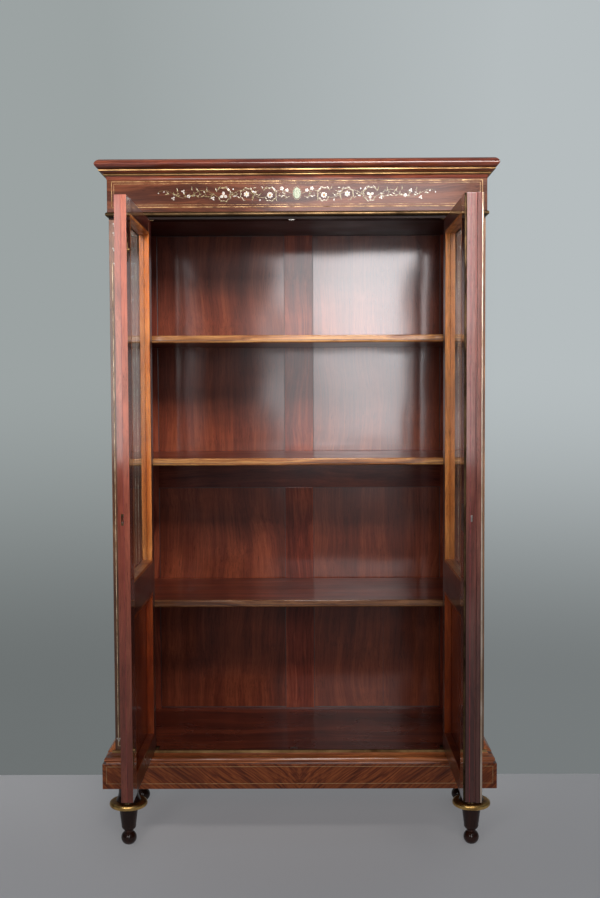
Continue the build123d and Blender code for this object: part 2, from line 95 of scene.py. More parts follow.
def mixed(tree, factor, first, second, blend="MIX"):
    """Two colours mixed; a Mix node's colour sockets are its inputs 6 and 7 and its output 2."""
    node = add_node(tree, "Mix", {0: factor, 6: first, 7: second}, data_type="RGBA", blend_type=blend)
    return node.outputs[2]


def noise(tree, vector, scale, detail=4.0, rough=0.55, distortion=0.0):
    """Grey noise about 0.5."""
    node = add_node(tree, "TexNoise", {"Vector": vector, "Scale": scale, "Detail": detail,
                                       "Roughness": rough, "Distortion": distortion})
    return node.outputs["Fac"]


def remap(tree, value, low, high, to_low, to_high, smooth=False):
    """A value from low to high moved to the range from to_low to to_high, and held at its ends."""
    node = add_node(tree, "MapRange", {"Value": value, "From Min": low, "From Max": high,
                                       "To Min": to_low, "To Max": to_high},
                    interpolation_type="SMOOTHSTEP" if smooth else "LINEAR")
    return node.outputs["Result"]


def maths(tree, operation, *values):
    """One arithmetic step on sockets or numbers."""
    return add_node(tree, "Math", dict(enumerate(values)), operation=operation).outputs[0]


def axes(tree, vector):
    """The X, Y and Z of a vector, each as a socket."""
    return add_node(tree, "SeparateXYZ", {"Vector": vector}).outputs


def bumped(tree, height, strength, distance):
    """Bump node over a height socket, distance in metres."""
    return add_node(tree, "Bump", {"Strength": strength, "Distance": distance, "Height": height})


# ------------------------------------------------------------------ kinds of material
GRAIN_TURN = {"Z": (0, 0, 0), "X": (0, math.pi / 2, 0), "Y": (math.pi / 2, 0, 0)}
SHADE_FULL_BELOW, SHADE_GONE_ABOVE = 0.55, 1.2              # heights between which the painted shade towards the floor fades out
POLISH_FADE_ACROSS, POLISH_FADE_DOWN = 0.5, 0.45  # lengths over which polish_from makes the polish dull
DULL_LEFT, DULL_LOW = 0.32, 0.2                   # share of the polish that is left there


def bent_grain(tree, place, turn, seed):
    """Coordinates whose Z runs along the grain, which drifts a little from side to side."""
    along_z = add_node(tree, "Mapping", {"Vector": place, "Rotation": turn,
                                         "Location": (seed * 1.7, seed * 2.3, seed * 0.9)}).outputs[0]
    drift = add_node(tree, "TexNoise", {"Vector": along_z, "Scale": 2.2, "Detail": 2.0})
    sideways = add_node(tree, "VectorMath", {0: drift.outputs["Color"], 1: (0.09, 0.09, 0.0)},
                        operation="MULTIPLY").outputs[0]
    return add_node(tree, "VectorMath", {0: along_z, 1: sideways}, operation="ADD").outputs[0]


def figured(tree, bands, dark, mid, light):
    """The growth bands coloured with one palette."""
    return ramp(tree, bands, (0.30, dark), (0.47, mid), (0.56, light), (0.68, mid))


def facing(tree, normal, axis):
    """1 on the faces square to an axis, 0 elsewhere."""
    along_axis = add_node(tree, "VectorMath", {0: normal, 1: axis}, operation="DOT_PRODUCT").outputs["Value"]
    return remap(tree, maths(tree, "ABSOLUTE", along_axis), 0.6, 0.7, 0.0, 1.0)


def faded_polish(tree, x, z, coat, bright_x, bright_z):
    """Coat weight that falls off to the left of bright_x and below bright_z."""
    from_left = remap(tree, x, bright_x - POLISH_FADE_ACROSS, bright_x, DULL_LEFT * coat, coat, smooth=True)
    from_below = remap(tree, z, bright_z - POLISH_FADE_DOWN, bright_z, DULL_LOW, 1.0, smooth=True)
    return maths(tree, "MULTIPLY", from_left, from_below)


def wood(name, dark, mid, light, grain="Z", seed=0.0, figure=1.0, rough=0.35, coat=0.8, coat_rough=0.12,
         coat_ior=1.5, mirrored_slant=None, flame=0.35, specular=0.1, faces=(), polish_from=None, waves=0.0,
         painted_low_shade=1.0, lower=None):
    """Polished wood with growth figure, fibres, open pores and cross-grain flame, running along one axis.

    mirrored_slant turns the grain by that angle and matches it like a book about X = 0. faces is a list of
    (axis, palette): the faces square to that axis take the palette's colours. polish_from is the X and the Z
    where the polish begins to be bright; to the left of it and below it the wood is duller. waves is the
    height of the slow unevenness of the board. painted_low_shade is how much painted shade darkens the wood
    towards the floor, where less light falls. lower is (height, palette): below that height the wood is of the
    other palette.
    """
    material, tree, shader = new_material(name)
    coordinates = add_node(tree, "TexCoord")
    place = coordinates.outputs["Object"]
    x, y, z = axes(tree, place)
    turn = GRAIN_TURN[grain]
    if mirrored_slant is not None:
        across = maths(tree, "ABSOLUTE", x)
        place = add_node(tree, "CombineXYZ", {"X": across, "Y": y, "Z": z}).outputs[0]
        turn = (0, mirrored_slant, 0)
    bent = bent_grain(tree, place, turn, seed)

    def grain_noise(across, along, detail, rough):
        """Noise with so many features in a metre across the grain and along it."""
        stretched = add_node(tree, "Mapping", {"Vector": bent, "Scale": (across, across, along)}).outputs[0]
        return noise(tree, stretched, 1.0, detail, rough)

    bands = grain_noise(across=14 * figure, along=0.55, detail=5.0, rough=0.6)
    fibres = grain_noise(across=230, along=5.0, detail=4.0, rough=0.65)
    pores = grain_noise(across=620, along=22.0, detail=2.0, rough=0.5)
    ripple = grain_noise(across=5.0, along=17.0, detail=2.0, rough=0.5)
    blotch = noise(tree, bent, scale=2.6, detail=3.0, rough=0.5)

    colour = figured(tree, bands, dark, mid, light)
    for axis, palette in faces:
        on_face = facing(tree, coordinates.outputs["Normal"], axis)
        colour = mixed(tree, on_face, colour, figured(tree, bands, **palette))
    if lower:
        height, palette = lower
        below = remap(tree, z, height, height + 10 * mm, 1.0, 0.0)
        colour = mixed(tree, below, colour, figured(tree, bands, **palette))
    streak = ramp(tree, fibres, (0.30, (0.55, 0.52, 0.5)), (0.62, (1.08, 1.08, 1.08)))
    shade = ramp(tree, blotch, (0.30, (0.68, 0.66, 0.66)), (0.70, (1.16, 1.16, 1.16)))
    curl = ramp(tree, ripple, (0.35, (0.72, 0.70, 0.68)), (0.62, (1.18, 1.16, 1.12)))
    pits = ramp(tree, pores, (0.30, (0.35, 0.3, 0.3)), (0.40, (1.0, 1.0, 1.0)))
    for share, tone in ((0.75, streak), (0.8, shade), (flame, curl), (0.7, pits)):
        colour = mixed(tree, share, colour, tone, "MULTIPLY")
    # painted shade: the colour darkens towards the floor, standing in for the light that falls off low down
    if painted_low_shade < 1.0:
        shade_factor = remap(tree, z, SHADE_FULL_BELOW, SHADE_GONE_ABOVE, painted_low_shade, 1.0, smooth=True)
        colour = mixed(tree, 1.0, colour, shade_factor, "MULTIPLY")
    tree.links.new(colour, shader.inputs["Base Color"])

    wear = noise(tree, place, scale=7.0, detail=2.0, rough=0.5)
    tree.links.new(remap(tree, wear, 0.3, 0.7, rough * 0.9, rough * 1.15), shader.inputs["Roughness"])
    closed_grain = remap(tree, pores, 0.28, 0.42, 0.0, 1.0)
    raised_fibres = remap(tree, fibres, 0.2, 0.8, 0.0, 0.6)
    bump = bumped(tree, maths(tree, "ADD", closed_grain, raised_fibres), strength=0.1, distance=0.3 * mm)
    tree.links.new(bump.outputs["Normal"], shader.inputs["Normal"])
    if waves:
        swell = noise(tree, place, scale=3.2, detail=1.0, rough=0.4)
        uneven = bumped(tree, swell, strength=1.0, distance=waves).outputs["Normal"]
        tree.links.new(uneven, bump.inputs["Normal"])
        tree.links.new(uneven, shader.inputs["Coat Normal"])
    if polish_from is None:
        shader.inputs["Coat Weight"].default_value = coat
    else:
        tree.links.new(faded_polish(tree, x, z, coat, *polish_from), shader.inputs["Coat Weight"])
    shader.inputs["Coat Roughness"].default_value = coat_rough
    shader.inputs["Coat IOR"].default_value = coat_ior
    shader.inputs["Specular IOR Level"].default_value = specular
    return material


def metal(name, bright, toned, rough=0.28, patches=18.0):
    """Metal with toned patches and fine upright scratches."""
    material, tree, shader = new_material(name)
    place = add_node(tree, "TexCoord").outputs["Object"]
    tone = noise(tree, place, patches, detail=6.0, rough=0.65)
    tree.links.new(ramp(tree, tone, (0.36, toned), (0.60, bright)), shader.inputs["Base Color"])
    tree.links.new(remap(tree, tone, 0.3, 0.7, rough * 1.5, rough * 0.75), shader.inputs["Roughness"])
    lines = add_node(tree, "Mapping", {"Vector": place, "Scale": (700, 700, 40)}).outputs[0]
    scratches = noise(tree, lines, scale=1.0, detail=2.0, rough=0.6)
    bump = bumped(tree, scratches, strength=0.06, distance=0.2 * mm)
    tree.links.new(bump.outputs["Normal"], shader.inputs["Normal"])
    shader.inputs["Metallic"].default_value = 1.0
    return material


def pane(name):
    """Old clear glass, slightly uneven."""
    material, tree, shader = new_material(name)
    place = add_node(tree, "TexCoord").outputs["Object"]
    ripple = noise(tree, place, scale=3.5, detail=2.0, rough=0.5)
    bump = bumped(tree, ripple, strength=0.08, distance=2 * mm)
    tree.links.new(bump.outputs["Normal"], shader.inputs["Normal"])
    tint = ramp(tree, ripple, (0.3, (0.93, 0.96, 0.94)), (0.7, (0.98, 0.99, 0.98)))
    tree.links.new(tint, shader.inputs["Base Color"])
    shader.inputs["Roughness"].default_value = 0.0
    shader.inputs["IOR"].default_value = 1.5
    shader.inputs["Transmission Weight"].default_value = 1.0
    return material


def pearl(name, tint, blush):
    """Mother-of-pearl and stained bone for the marquetry."""
    material, tree, shader = new_material(name)
    place = add_node(tree, "TexCoord").outputs["Object"]
    sheen = noise(tree, place, scale=160.0, detail=4.0, rough=0.6, distortion=0.4)
    tree.links.new(ramp(tree, sheen, (0.35, blush), (0.6, tint)), shader.inputs["Base Color"])
    tree.links.new(remap(tree, sheen, 0.3, 0.7, 0.18, 0.34), shader.inputs["Roughness"])
    shader.inputs["Coat Weight"].default_value = 0.6
    shader.inputs["Coat Roughness"].default_value = 0.1
    return material


def line_material(name, dark, bright):
    """Thin line of veneer, toned along its length."""
    material, tree, shader = new_material(name)
    place = add_node(tree, "TexCoord").outputs["Object"]
    tone = noise(tree, place, scale=60.0, detail=4.0, rough=0.6)
    tree.links.new(ramp(tree, tone, (0.35, dark), (0.62, bright)), shader.inputs["Base Color"])
    tree.links.new(remap(tree, tone, 0.3, 0.7, 0.3, 0.45), shader.inputs["Roughness"])
    shader.inputs["Coat Weight"].default_value = 0.5
    shader.inputs["Coat Roughness"].default_value = 0.15
    return material


# ------------------------------------------------------------------ palettes and materials
ROSEWOOD = dict(dark=srgb(44, 18, 12), mid=srgb(92, 42, 26), light=srgb(136, 76, 44))
PLINTH = dict(dark=srgb(78, 33, 14), mid=srgb(116, 55, 25), light=srgb(152, 82, 40))
MAHOGANY = dict(dark=srgb(64, 24, 17), mid=srgb(104, 46, 31), light=srgb(136, 70, 46))
BASE_TORUS = dict(dark=srgb(112, 56, 28), mid=srgb(168, 92, 50), light=srgb(206, 126, 74))
INTERIOR = dict(dark=srgb(52, 17, 11), mid=srgb(94, 36, 23), light=srgb(126, 58, 37))
BACK = dict(dark=srgb(88, 37, 22), mid=srgb(108, 49, 30), light=srgb(128, 63, 39))
FRIEZE = dict(dark=srgb(46, 22, 14), mid=srgb(80, 40, 25), light=srgb(112, 62, 38))
PILASTER = dict(dark=srgb(98, 60, 42), mid=srgb(144, 97, 68), light=srgb(170, 124, 88))
UPRIGHTS = dict(dark=srgb(66, 26, 18), mid=srgb(116, 50, 34), light=srgb(148, 74, 50))
SHADED = dict(dark=srgb(24, 9, 8), mid=srgb(50, 19, 15), light=srgb(72, 30, 23))
UNLIT = dict(dark=srgb(8, 3, 3), mid=srgb(18, 7, 6), light=srgb(28, 11, 9))
DOOR_FACE = dict(dark=srgb(44, 17, 14), mid=srgb(84, 34, 26), light=srgb(112, 52, 38))
DOOR_PANEL = dict(dark=srgb(84, 24, 10), mid=srgb(124, 42, 18), light=srgb(152, 64, 30))
EDGES = dict(dark=srgb(118, 52, 40), mid=srgb(160, 82, 62), light=srgb(184, 104, 80))
EDGES_RIGHT = dict(dark=srgb(80, 38, 36), mid=srgb(114, 64, 56), light=srgb(138, 86, 74))
BAND = dict(dark=srgb(118, 50, 38), mid=srgb(164, 84, 64), light=srgb(188, 106, 82))
BAND_RIGHT = dict(dark=srgb(84, 34, 32), mid=srgb(122, 62, 56), light=srgb(146, 84, 74))
HONEY = dict(dark=srgb(150, 72, 28), mid=srgb(204, 116, 52), light=srgb(230, 150, 82))
LOWER_BEAD = dict(dark=srgb(130, 44, 12), mid=srgb(178, 70, 24), light=srgb(204, 96, 42))
LIPPING = dict(dark=srgb(108, 62, 34), mid=srgb(170, 112, 64), light=srgb(204, 150, 90))
DARK_LIPPING = dict(dark=srgb(58, 32, 20), mid=srgb(102, 62, 38), light=srgb(134, 92, 60))
PALE = dict(dark=srgb(120, 84, 52), mid=srgb(160, 120, 78), light=srgb(186, 148, 102))
EBONY = dict(dark=srgb(20, 10, 7), mid=srgb(38, 19, 13), light=srgb(56, 30, 21))

brass = metal("brass_polished", srgb(152, 122, 84), srgb(98, 74, 46), rough=0.38)
fillet_brass = metal("brass_fillet", srgb(176, 142, 96), srgb(104, 76, 46), rough=0.5, patches=6.0)
ring_brass = metal("brass_rings", srgb(228, 186, 112), srgb(150, 112, 60), rough=0.3, patches=24.0)
aged = metal("brass_toned", srgb(126, 102, 72), srgb(70, 54, 37), rough=0.42, patches=9.0)
faded = metal("brass_faded", srgb(236, 218, 200), srgb(196, 168, 140), rough=0.5, patches=12.0)
dull = metal("brass_dull", srgb(84, 68, 46), srgb(40, 30, 20), rough=0.45, patches=14.0)
stringing = metal("brass_stringing", srgb(164, 134, 94), srgb(108, 82, 52), rough=0.5, patches=40.0)
pale_stringing = metal("brass_stringing_pale", srgb(226, 202, 170), srgb(170, 140, 104), rough=0.5,
                       patches=30.0)
steel = metal("steel_worn", srgb(190, 190, 186), srgb(120, 118, 114), rough=0.34)
glass = pane("old_glass")
pearl_white = pearl("pearl_white", srgb(184, 176, 166), srgb(148, 134, 124))
pearl_green = pearl("stained_green", srgb(140, 152, 116), srgb(88, 106, 72))
pearl_gold = pearl("stained_gold", srgb(128, 106, 52), srgb(84, 70, 34))
line_wood = line_material("boxwood_line", srgb(120, 86, 50), srgb(176, 136, 84))
line_red = line_material("red_line", srgb(84, 10, 12), srgb(128, 24, 26))
# dark line material: painted shade in the panels' corners and on the shelves' lipping, and the real split in
# one panel
shade_and_split = line_material("painted_shade_and_split", srgb(20, 8, 6), srgb(38, 16, 11))
ebony = wood("ebonised", **EBONY, seed=3, rough=0.3, coat=0.5)
# the edge bands darken towards the floor with painted shade
edge_bands = {"left": wood("edge_red", **BAND, seed=61, coat=0.8, painted_low_shade=0.38),
              "right": wood("edge_dark", **BAND_RIGHT, seed=62, coat=0.8, painted_low_shade=0.4)}

# ------------------------------------------------------------------ what each CAD node is made of
FRONT_AND_BACK, UP_AND_DOWN = (0, 1, 0), (0, 0, 1)
FEET = ("foot_front_left", "foot_front_right", "foot_rear_left", "foot_rear_right")

# painted_low_shade, where it is given, paints shade towards the floor
node_woods = {
    "plinth_front": dict(PLINTH, mirrored_slant=math.radians(-52), seed=1, figure=11.0, rough=0.3, flame=0.15,
                         coat=0.45),
    "plinth_sides_and_back": dict(PLINTH, grain="Y", seed=2, figure=1.6),
    "plinth_corner_blocks": dict(PALE, grain="X", seed=4, coat=0.0, rough=0.7),
    "base_board": dict(INTERIOR, grain="X", seed=5, rough=0.28, coat=0.35),
    "base_moulding": dict(BASE_TORUS, grain="X", seed=6, figure=2.0, coat=1.0, coat_ior=1.8, coat_rough=0.16),
    "base_side_mouldings": dict(BASE_TORUS, grain="Y", seed=7),
    "pilaster_left": dict(PILASTER, seed=8, figure=1.6, painted_low_shade=0.6),
    "pilaster_right": dict(PILASTER, seed=9, figure=1.6, painted_low_shade=0.6),
    "side_left": dict(ROSEWOOD, seed=10),
    "side_right": dict(ROSEWOOD, seed=11),
    "head_rail": dict(UNLIT, grain="X", seed=12, coat=0.0, specular=0.1, rough=0.5),
    "ceiling_board": dict(SHADED, grain="X", seed=13, coat=0.0, specular=0.3, rough=0.4),
    "frieze_front": dict(FRIEZE, grain="X", seed=14, figure=1.3, rough=0.35, specular=0.05, coat=0.6),
    "frieze_returns": dict(ROSEWOOD, grain="Y", seed=15),
    "crown_moulding": dict(MAHOGANY, grain="X", seed=16, figure=2.5, coat=1.0, coat_ior=1.7, coat_rough=0.18),
    "top_board": dict(PALE, grain="X", seed=17, coat=0.0, rough=0.75),
    "back_uprights": dict(UPRIGHTS, seed=18, rough=0.4, figure=2.2, coat=0.65, coat_rough=0.1, coat_ior=1.6,
                          polish_from=(-0.3, 1.1)),
    "back_rails": dict(INTERIOR, grain="X", seed=19, rough=0.3),
    "back_panels": dict(BACK, seed=20, rough=0.4, figure=1.3, flame=0.4, coat=1.0, coat_rough=0.13,
                        coat_ior=1.9, polish_from=(0.24, 1.1), waves=5 * mm),
    "shelf_racks": dict(INTERIOR, seed=21),
    "shelf_cleats": dict(INTERIOR, grain="Y", seed=22),
    "cover_strip": dict(EDGES_RIGHT, seed=60, coat=1.0, coat_rough=0.08, painted_low_shade=0.45),
}
for index, level in enumerate(("lower", "middle", "upper")):
    lipping = DARK_LIPPING if level == "lower" else LIPPING
    node_woods[f"shelf_{level}"] = dict(INTERIOR, grain="X", seed=30 + index, coat=0.5)
    node_woods[f"shelf_{level}_lipping"] = dict(lipping, grain="X", seed=40 + index, figure=4.0)
for index, (side_name, edge_palette) in enumerate((("left", EDGES), ("right", EDGES_RIGHT))):
    door_face = dict(DOOR_FACE, rough=0.3, coat=0.5, painted_low_shade=0.5)
    hinge = dict(door_face, faces=((FRONT_AND_BACK, HONEY),))
    meeting = dict(door_face, coat=1.0, coat_rough=0.08, faces=((FRONT_AND_BACK, edge_palette),))
    rails = dict(door_face, grain="Y", faces=((UP_AND_DOWN, HONEY),))
    node_woods[f"{side_name}_hinge_stile"] = dict(hinge, seed=50 + index)
    node_woods[f"{side_name}_meeting_stile"] = dict(meeting, seed=52 + index)
    node_woods[f"{side_name}_rails"] = dict(rails, seed=54 + index)
    node_woods[f"{side_name}_panel"] = dict(DOOR_PANEL, seed=56 + index, rough=0.22, coat=0.4, painted_low_shade=0.6)
    node_woods[f"{side_name}_beads"] = dict(HONEY, seed=58 + index, coat=0.25, painted_low_shade=0.42,
                                            lower=(0.83, LOWER_BEAD))

node_metals = {
    "foot_rings": ring_brass, "brass_fillets": fillet_brass, "astragal_moulding": aged, "pivot_plates": dull,
    "bolt_strikes": steel, "left_hinge_leaves": brass, "right_hinge_leaves": brass, "top_bolt": brass,
    "bolt_guide_plates": brass, "bottom_bolt": brass, "lock_keeper": dull, "meeting_strip": dull,
    "cover_bead": faded, "lock_case": steel, "lock_bolt": steel, "escutcheon": brass,
}
other_nodes = {"left_glass": glass, "right_glass": glass, **{foot: ebony for foot in FEET}}

# nodes that keep their edges as they are: glass, round turned work, bolts, and the racks' small teeth
KEPT_SHARP = {"left_glass", "right_glass", "foot_rings", "top_bolt", "bottom_bolt", "shelf_racks", *FEET}
WORN_RADIUS = 0.7 * mm
WELD_GAP = 0.02 * mm
WORN_FROM_ANGLE = math.radians(40)


def dress(node, material):
    """Gives a CAD node its material and a small worn radius on its edges."""
    piece = nodes[node]
    piece.data.materials.clear()
    piece.data.materials.append(material)
    if node in KEPT_SHARP:
        return
    weld = piece.modifiers.new("weld", "WELD")
    weld.merge_threshold = WELD_GAP
    bevel = piece.modifiers.new("worn_edges", "BEVEL")
    bevel.width = WORN_RADIUS
    bevel.segments = 2
    bevel.limit_method = "ANGLE"
    bevel.angle_limit = WORN_FROM_ANGLE
    bevel.harden_normals = False


for node, look in node_woods.items():
    dress(node, wood(f"{node}_wood", **look))
for node, material in {**node_metals, **other_nodes}.items():
    dress(node, material)

# ------------------------------------------------------------------ inlay and small shapes


def add_piece(name, shape, body, material):
    """Makes a finished bmesh an object that rides on a body."""
    mesh = bpy.data.meshes.new(name)
    shape.to_mesh(mesh)
    shape.free()
    mesh.materials.append(material)
    piece = bpy.data.objects.new(name, mesh)
    bpy.context.scene.collection.objects.link(piece)
    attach(piece, body)


def bridge(shape, first, second):
    """Four faces between two rows of four points."""
    for corner in range(4):
        following = (corner + 1) % 4
        shape.faces.new((first[corner], first[following], second[following], second[corner]))


class Inlay:
    """Thin cut pieces let into a face, gathered into one mesh.

    spot(a, b, h) gives the place of a point with coordinates a, b on the face, h above it.
    """
    depth = 0.35 * mm            # how far a piece goes into the wood
    dome = 1.6                   # height of a plate's middle, as a multiple of its edge's

    def __init__(self, name, spot, proud=0.22 * mm):
        self.name, self.spot, self.proud = name, spot, proud
        self.shape = bmesh.new()

    def ribbon(self, points, widths):
        """Strip along a line of (a, b) points, of one width or of one width for each point."""
        if not isinstance(widths, (list, tuple)):
            widths = [widths] * len(points)
        section = ((1, self.proud), (-1, self.proud), (-1, -self.depth), (1, -self.depth))
        rows = []
        for index, (a, b) in enumerate(points):
            before, after = points[max(index - 1, 0)], points[min(index + 1, len(points) - 1)]
            along = Vector((after[0] - before[0], after[1] - before[1])).normalized()
            side = Vector((-along.y, along.x)) * widths[index] / 2
            rows.append([self.shape.verts.new(self.spot(a + sign * side.x, b + sign * side.y, height))
                         for sign, height in section])
        for first, second in zip(rows, rows[1:]):
            bridge(self.shape, first, second)
        self.shape.faces.new(rows[0][::-1])
        self.shape.faces.new(rows[-1])

    def plate(self, outline):
        """Flat piece with the given outline of (a, b) points, slightly domed."""
        middle = [sum(point[axis] for point in outline) / len(outline) for axis in (0, 1)]
        crown = self.shape.verts.new(self.spot(*middle, self.proud * self.dome))
        top = [self.shape.verts.new(self.spot(a, b, self.proud)) for a, b in outline]
        low = [self.shape.verts.new(self.spot(a, b, -self.depth)) for a, b in outline]
        for index in range(len(outline)):
            following = (index + 1) % len(outline)
            self.shape.faces.new((crown, top[index], top[following]))
            self.shape.faces.new((top[index], low[index], low[following], top[following]))
        self.shape.faces.new(low[::-1])

    def frame_line(self, a_limits, b_limits, width):
        """Rectangle of stringing."""
        (a0, a1), (b0, b1) = a_limits, b_limits
        for b in (b0, b1):
            self.ribbon([(a0 - width / 2, b), (a1 + width / 2, b)], width)
        for a in (a0, a1):
            self.ribbon([(a, b0), (a, b1)], width)

    def half_round(self, a_limits, b_limits, width, steps=6):
        """Frame of half-round moulding, mitred at its corners."""
        (a0, a1), (b0, b1) = a_limits, b_limits
        rings = []
        for step in range(steps + 1):
            angle = math.pi * step / steps
            shift = width / 2 * math.cos(angle)
            height = self.proud * math.sin(angle)
            corners = ((a0 + shift, b0 + shift), (a1 - shift, b0 + shift),
                       (a1 - shift, b1 - shift), (a0 + shift, b1 - shift))
            rings.append([self.shape.verts.new(self.spot(a, b, height)) for a, b in corners])
        for first, second in zip(rings, rings[1:] + rings[:1]):
            bridge(self.shape, first, second)

    def build(self, body, material):
        """Makes the gathered pieces one object that rides on a body."""
        bmesh.ops.recalc_face_normals(self.shape, faces=self.shape.faces)
        add_piece(self.name, self.shape, body, material)


def on_front(face_y):
    """Places on a face that looks forwards."""
    return lambda a, b, h: Vector((a, face_y - h, b))


def on_side(side, face_x):
    """Places on a face that looks to the left (side -1) or to the right (side 1)."""
    return lambda a, b, h: Vector((side * (face_x + h), a, b))


def leaf(a, b, length, width, heading, bend=0.25, steps=7):
    """Outline of a curved leaf that grows from (a, b)."""
    axis = Vector((math.cos(heading), math.sin(heading)))
    across = Vector((-axis.y, axis.x))
    sides = ([], [])
    for step in range(steps + 1):
        share = step / steps
        half = width / 2 * math.sin(math.pi * share ** 0.8)
        middle = Vector((a, b)) + axis * length * share + across * bend * length * share * share
        for side, points in ((1, sides[0]), (-1, sides[1])):
            points.append(middle + across * side * half)
    outline = sides[0] + sides[1][-2:0:-1]
    return [(point.x, point.y) for point in outline]


def flower(inlay, a, b, radius, petals, turn=0.0, corners=9):
    """Round petals about a centre, each its own piece."""
    reach = radius * 0.58
    size = radius * min(0.5, 2.2 / petals)
    for index in range(petals):
        heading = turn + 2 * math.pi * index / petals
        centre = (a + reach * math.cos(heading), b + reach * math.sin(heading))
        outline = []
        for step in range(corners):
            angle = 2 * math.pi * step / corners
            long, wide = size * 0.98 * math.cos(angle), size * 0.82 * math.sin(angle)
            outline.append((centre[0] + long * math.cos(heading) - wide * math.sin(heading),
                            centre[1] + long * math.sin(heading) + wide * math.cos(heading)))
        inlay.plate(outline)


def ellipse(a, b, radius, stretch=1.0, steps=12):
    """Points round (a, b); stretch is the height as a multiple of the width."""
    return [(a + radius * math.cos(2 * math.pi * k / steps),
             b + radius * stretch * math.sin(2 * math.pi * k / steps)) for k in range(steps)]


def spiral(a, b, start_radius, end_radius, start_angle, turns, steps=26):
    """Points that roll in or out about (a, b)."""
    points = []
    for step in range(steps + 1):
        share = step / steps
        radius = start_radius + (end_radius - start_radius) * share
        angle = start_angle + turns * 2 * math.pi * share
        points.append((a + radius * math.cos(angle), b + radius * math.sin(angle)))
    return points


def wave(a0, a1, middle, height, cycles, steps):
    """Points of a sine wave from a0 to a1."""
    return [(a0 + (a1 - a0) * k / steps, middle + height * math.sin(2 * math.pi * cycles * k / steps))
            for k in range(steps + 1)]


def taper(count, wide, narrow):
    """Widths that shrink evenly along a line of points."""
    return [wide + (narrow - wide) * index / (count - 1) for index in range(count)]


def heading_from(first, second):
    """Angle of the way from one point to the next."""
    return math.atan2(second[1] - first[1], second[0] - first[0])


def mirrored(side, points):
    """Points of the right half as they are (side 1) or moved to the left half (side -1)."""
    return [(side * a, b) for a, b in points]


# ------------------------------------------------------------------ frieze marquetry
# The right half of the design, in millimetres and radians: along is from the middle of the frieze, up is
# from its mid-line.
# along, radius, start angle, turns
GREAT_SCROLLS = ((79, 22, 0.6, 0.86), (147, 22, 3.9, -0.86), (214, 23, 0.6, 0.86))
CURLS = ((113, 9, 3.5, 0.8), (181, 9, 0.4, -0.8), (258, 15, 3.3, 0.85), (290, 11, 0.3, -0.8),
         (322, 10, 3.2, 0.8), (352, 8, 0.2, -0.75), (46, 10, 2.4, 0.8), (30, 13, 4.0, 0.6))
# along, up, number of petals, radius, radius of the heart
ROSETTES = ((79, -6, 8, 10.5, 1.8), (147, -3, 6, 9, 2.4), (214, -6, 3, 10.5, 1.2))
BLOSSOMS = ((44, 13, 5, 6, 1), (29, 8, 5, 5.5, 1), (316, -8, 5, 5.5, 1), (245, -14, 3, 5.5, 1),
            (332, 6, 3, 5.5, 1), (361, -14, 3, 5.5, 1))
# along, up, radius
BERRIES = ((108, -20, 2.6), (388, 5, 2.2), (404, 1, 1.6), (186, 12, 2.0))
# along, up, length, heading
PALE_LEAVES = ((62, 10, 11, 0.3), (47, -12, 10, 2.4), (120, 2, 11, 0.2), (187, -10, 12, 2.7),
               (196, 8, 10, 0.8))
GILT_LEAVES = ((232, 4, 16, 0.7), (240, -2, 15, -0.5), (262, 3, 15, 1.1), (270, -4, 14, -0.9),
               (286, 6, 14, 0.5), (300, -6, 13, -0.4), (305, 8, 12, 1.0), (340, -4, 12, -0.8),
               (346, 6, 11, 0.7), (372, -2, 11, 0.3), (376, 0, 10, -0.6), (128, 14, 9, 2.6),
               (98, 12, 9, 0.6), (64, -16, 9, 3.6), (166, -14, 9, 0.1))
STEM_FROM, STEM_TO = 16 * mm, 405 * mm
OVAL_HALF_WIDTH, OVAL_RING_HALF_WIDTH = 11 * mm, 12.5 * mm

WIDE_LINE, FINE_LINE = 1.7 * mm, 0.8 * mm
FRIEZE_LINE_UP, FRIEZE_LINE_DOWN = 14 * mm, 6 * mm      # the outer line's place inside the frieze's edges


def great_scrolls(stems, leaves, side, middle):
    """Large open rings of stem, set with leaves that turn outwards and inwards by turns."""
    for along, radius, start, turns in GREAT_SCROLLS:
        ring = spiral(along * mm, middle - 5 * mm, radius * mm, radius * 0.72 * mm, start, turns)
        stems.ribbon(mirrored(side, ring), taper(len(ring), 2.2 * mm, 0.9 * mm))
        for k in range(1, 25, 2):
            outward = 1 if (k // 2) % 2 else -1
            heading = heading_from(ring[k], ring[k + 1]) + outward * 0.75
            outline = leaf(*ring[k], (11.5 - 0.25 * k) * mm, 3.2 * mm, heading, -0.55 * outward)
            leaves.plate(mirrored(side, outline))


def curls(stems, leaves, side, middle):
    """Small tendrils that roll in, a little above or below the mid-line, with three leaves each."""
    for along, radius, start, turns in CURLS:
        rise = 3 * math.cos(along) * mm
        curl = spiral(along * mm, middle + rise, radius * mm, radius * 0.35 * mm, start, turns)
        stems.ribbon(mirrored(side, curl), taper(len(curl), 1.7 * mm, 0.7 * mm))
        for k in (3, 8, 13):
            heading = heading_from(curl[k], curl[k + 1]) - math.copysign(0.8, turns)
            outline = leaf(*curl[k], radius * 0.75 * mm, 3.0 * mm, heading, math.copysign(0.5, turns))
            leaves.plate(mirrored(side, outline))


def flower_heads(petals, hearts, side, middle):
    """Rosettes in the great scrolls, blossoms and berries between them."""
    for turn, heads in ((0.5, ROSETTES), (1.2, BLOSSOMS)):
        for along, up, count, radius, heart in heads:
            centre = (side * along * mm, middle + up * mm)
            flower(petals, *centre, radius * mm, count, turn=turn * side)
            hearts.plate(ellipse(*centre, heart * mm))
    for along, up, radius in BERRIES:
        petals.plate(ellipse(side * along * mm, middle + up * mm, radius * mm))


